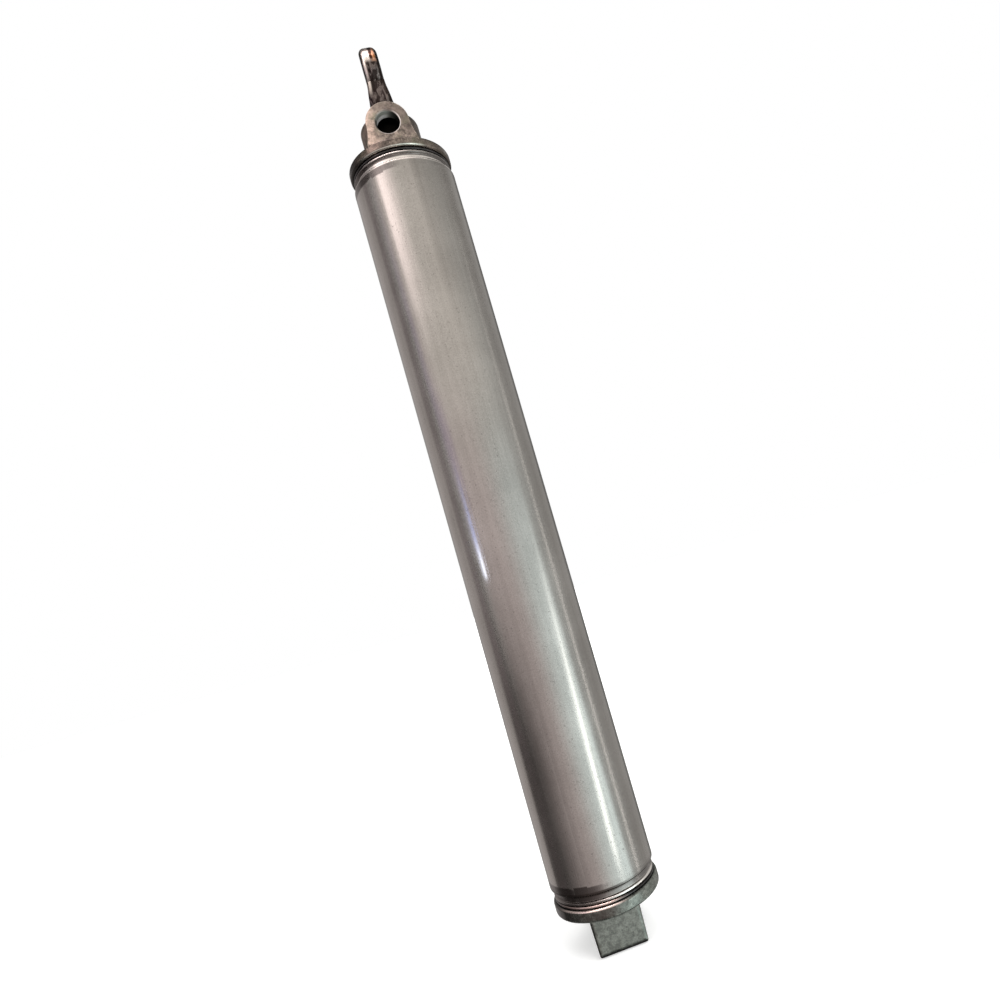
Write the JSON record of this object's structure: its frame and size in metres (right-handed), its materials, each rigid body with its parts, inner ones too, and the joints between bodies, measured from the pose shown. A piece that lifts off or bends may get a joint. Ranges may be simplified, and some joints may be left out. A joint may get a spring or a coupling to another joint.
{
  "type": "convertible top hydraulic cylinder",
  "caption": "Slim double-acting hydraulic lift cylinder with a steel barrel, cast end caps, a block lug at the base, a rod with a flat eye, and a hose port at each end.",
  "frame": {"origin": "centre of the base pivot bore", "axes": "+Z along the cylinder towards the rod eye, +X along both pivot bores; the rod-end port faces -Y and the base port faces +Y"},
  "size_m": [0.0383, 0.0382, 0.3409],
  "materials": {
    "tube_steel": "drawn tube, satin, fine lengthwise lines",
    "cap_casting": "matte casting, warm grey",
    "ring_steel": "bright turned and stamped steel",
    "spring_wire": "blackened spring wire",
    "rod_plating": "ground and plated",
    "bushing_bronze": "sintered bronze",
    "piston_alloy": "turned",
    "seal_rubber": "matte nitrile",
    "wear_plastic": "moulded nylon"
  },
  "bodies": {
    "barrel": {"barrel_tube": "tube_steel", "base_cap": "cap_casting", "base_cap_o_ring": "seal_rubber", "base_lock_ring": "spring_wire", "head_cap": "cap_casting", "head_cap_o_ring": "seal_rubber", "head_lock_ring": "spring_wire", "rod_guide_bushing": "bushing_bronze", "rod_seal": "seal_rubber", "seal_washer": "ring_steel", "rod_wiper": "seal_rubber", "gland_snap_ring": "ring_steel"},
    "piston_seals": {"piston_wear_ring": "wear_plastic", "upper_piston_cup": "seal_rubber", "lower_piston_cup": "seal_rubber"},
    "rod": {"piston_rod": "rod_plating", "piston_head": "piston_alloy", "piston_o_ring": "seal_rubber", "piston_washer": "ring_steel", "piston_nut": "ring_steel"}
  },
  "joints": [
    {"name": "rod_slide", "type": "slide", "parent": "barrel", "child": "piston_seals", "axis": [0, 0, 1], "range_m": [0, 0.2214]},
    {"name": "rod_turn", "type": "hinge", "parent": "piston_seals", "child": "rod", "pos_m": [0, 0, 0.3263], "axis": [0, 0, 1], "continuous": true}
  ]
}
